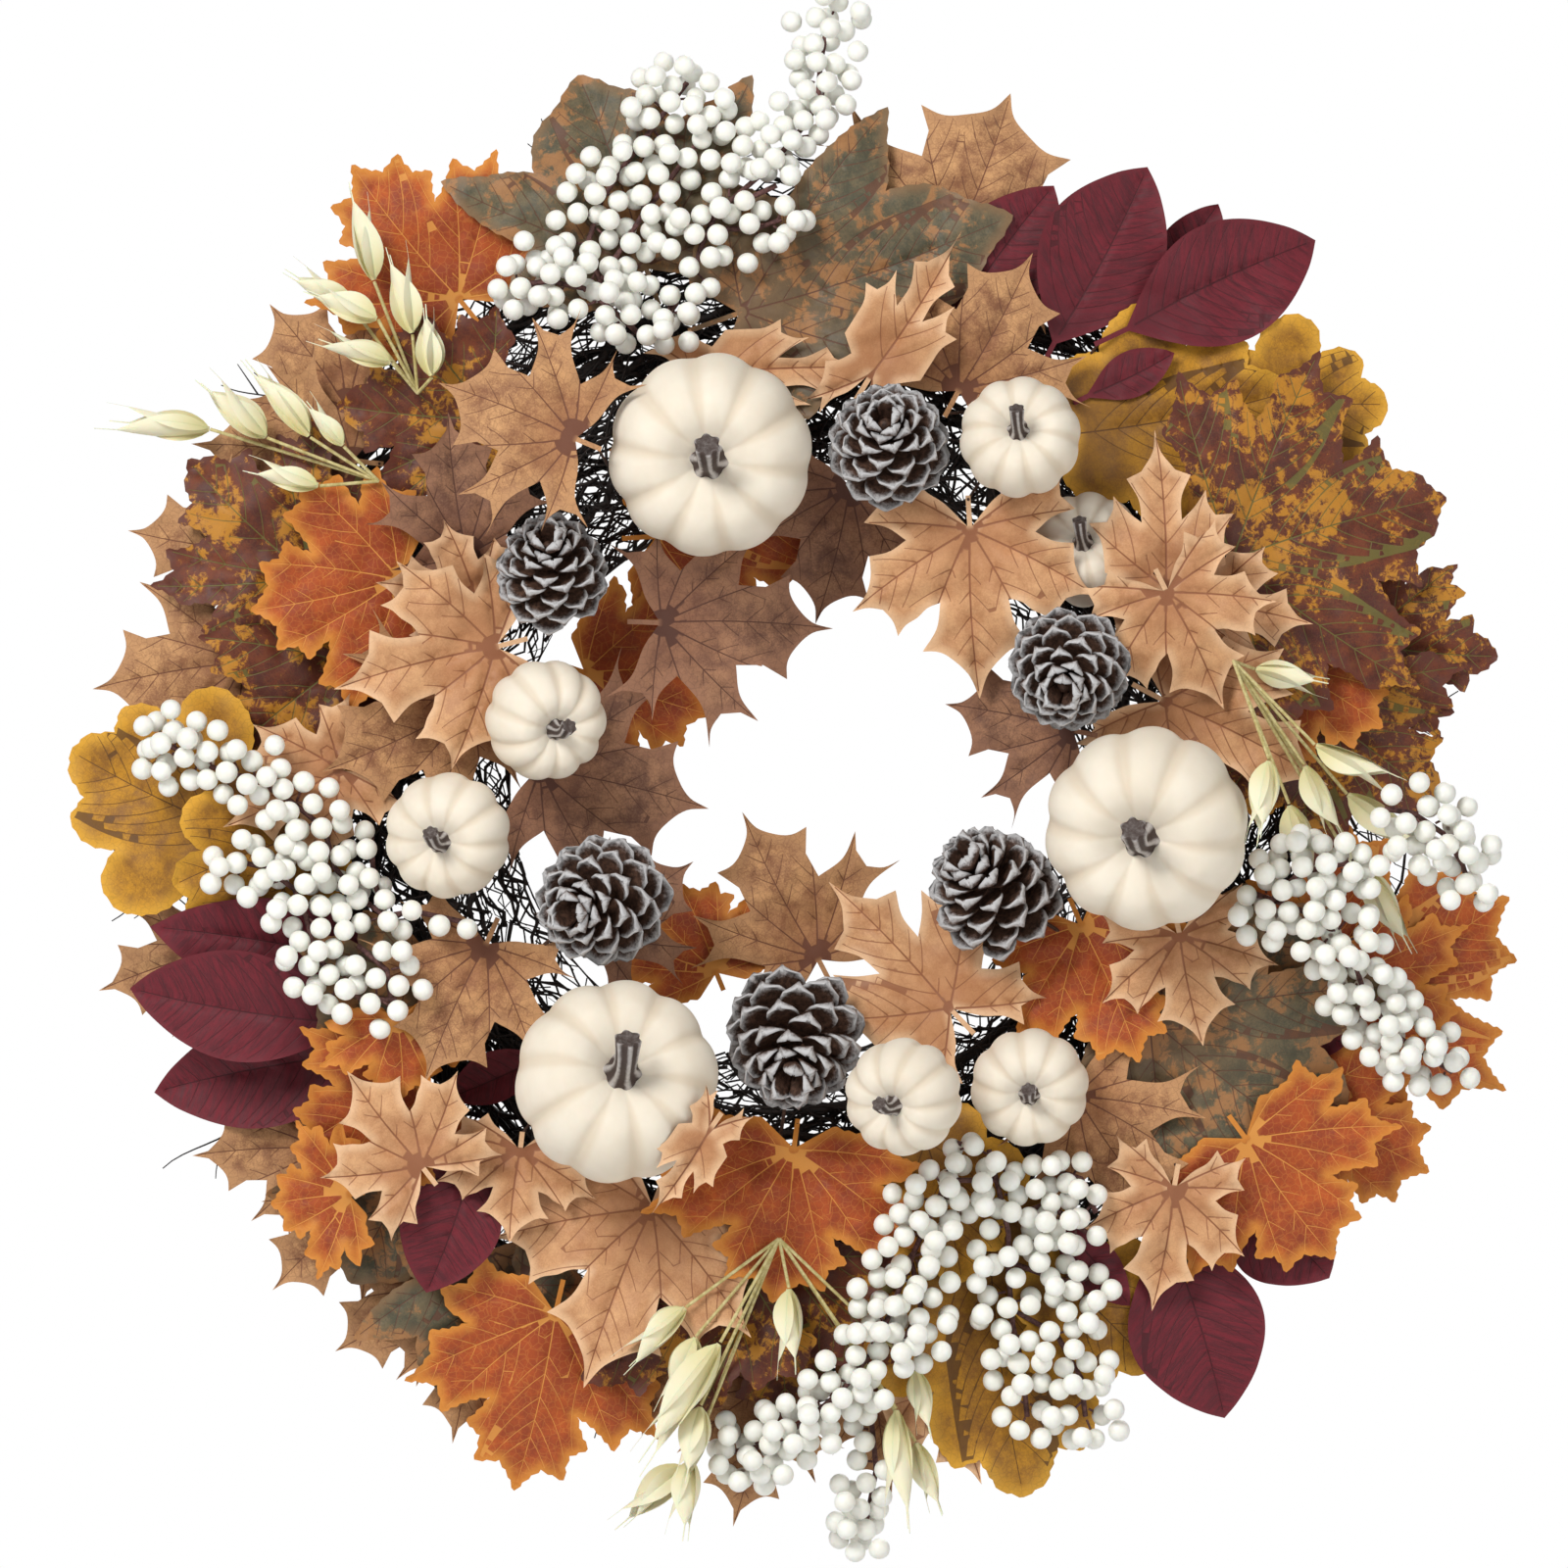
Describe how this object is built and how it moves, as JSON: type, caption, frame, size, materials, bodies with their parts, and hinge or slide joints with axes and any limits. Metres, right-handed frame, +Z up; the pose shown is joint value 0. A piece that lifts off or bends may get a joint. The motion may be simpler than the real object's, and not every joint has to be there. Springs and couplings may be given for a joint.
{
  "type": "harvest door wreath",
  "caption": "Round autumn door wreath of fabric leaves, cream pumpkins, frosted cones, white berries and oats on a twig ring, with a wire hanging loop at the back",
  "frame": {"origin": "seat of the hook, inside the top of the hanging loop at the back of the ring", "axes": "+Z up, front of the wreath towards -Y, door towards +Y, +X to the right seen from the front"},
  "size_m": [0.5845, 0.1724, 0.6442],
  "materials": {
    "leaf_tan": "printed polyester leaf, matt",
    "leaf_taupe": "printed polyester leaf, matt",
    "leaf_peach": "embossed satin leaf, soft sheen",
    "leaf_rust": "printed polyester leaf with yellow veins",
    "leaf_olive": "printed polyester leaf, slightly glossy",
    "leaf_mottled": "speckled print, slightly glossy",
    "leaf_mustard": "printed polyester leaf, matt",
    "leaf_magnolia": "flocked burgundy leaf",
    "berry_skin": "off-white lacquered foam berry",
    "oat_husk": "thin translucent film husk",
    "cone_scale": "dark scales with white frosted tips",
    "pumpkin_stalk": "grey-brown with rubbed silver ridges",
    "pumpkin_skin": "matt cream painted foam",
    "frame_steel": "black painted wire",
    "clip_steel": "black painted steel",
    "loop_steel": "bright steel wire",
    "pick_wood": "plain softwood",
    "wire_brown": "brown paper-wrapped wire",
    "berry_stem": "brown tape-wrapped stem",
    "oat_stem": "pale straw stem",
    "twig_black": "dark dyed twig"
  },
  "bodies": {
    "wreath": {"berries_bottom": "berry_skin", "berries_bottom_right": "berry_skin", "berries_far_right": "berry_skin", "berries_left": "berry_skin", "berries_lower_left": "berry_skin", "berries_right": "berry_skin", "berries_top": "berry_skin", "berries_top_left": "berry_skin", "berries_upper_left": "berry_skin", "berry_stems": "berry_stem", "cone_wires": "wire_brown", "frame_ring": "frame_steel", "hanger_clip": "clip_steel", "large_pumpkin_left": "pumpkin_skin", "large_pumpkin_right": "pumpkin_skin", "large_pumpkin_stalks": "pumpkin_stalk", "large_pumpkin_top": "pumpkin_skin", "leaf_wires": "wire_brown", "magnolia_leaves_left": "leaf_magnolia", "magnolia_leaves_right": "leaf_magnolia", "mottled_leaves_left": "leaf_mottled", "mottled_leaves_right": "leaf_mottled", "mustard_leaves_left": "leaf_mustard", "mustard_leaves_right": "leaf_mustard", "oat_stems": "oat_stem", "oats_bottom": "oat_husk", "oats_left": "oat_husk", "oats_right": "oat_husk", "oats_upper_left": "oat_husk", "olive_leaves_left": "leaf_olive", "olive_leaves_right": "leaf_olive", "peach_leaves_left": "leaf_peach", "peach_leaves_right": "leaf_peach", "pine_cone_bottom": "cone_scale", "pine_cone_left": "cone_scale", "pine_cone_right": "cone_scale", "pine_cone_top": "cone_scale", "pine_cone_upper_left": "cone_scale", "pine_cone_upper_right": "cone_scale", "pumpkin_picks": "pick_wood", "rust_leaves_left": "leaf_rust", "rust_leaves_right": "leaf_rust", "small_pumpkin_bottom": "pumpkin_skin", "small_pumpkin_bottom_right": "pumpkin_skin", "small_pumpkin_far_left": "pumpkin_skin", "small_pumpkin_left": "pumpkin_skin", "small_pumpkin_right": "pumpkin_skin", "small_pumpkin_stalks": "pumpkin_stalk", "small_pumpkin_top_right": "pumpkin_skin", "stray_twigs": "twig_black", "tan_leaves_left": "leaf_tan", "tan_leaves_lower": "leaf_tan", "tan_leaves_right": "leaf_tan", "taupe_leaves_inner": "leaf_taupe", "vine_canes_back": "twig_black", "vine_canes_front": "twig_black", "vine_wraps": "twig_black"},
    "loop": {"hanging_loop": "loop_steel"}
  },
  "joints": [
    {"name": "loop_fold", "type": "hinge", "parent": "wreath", "child": "loop", "pos_m": [0, 0, -0.02275], "axis": [-1, 0, 0], "range_deg": [0, 180]}
  ]
}
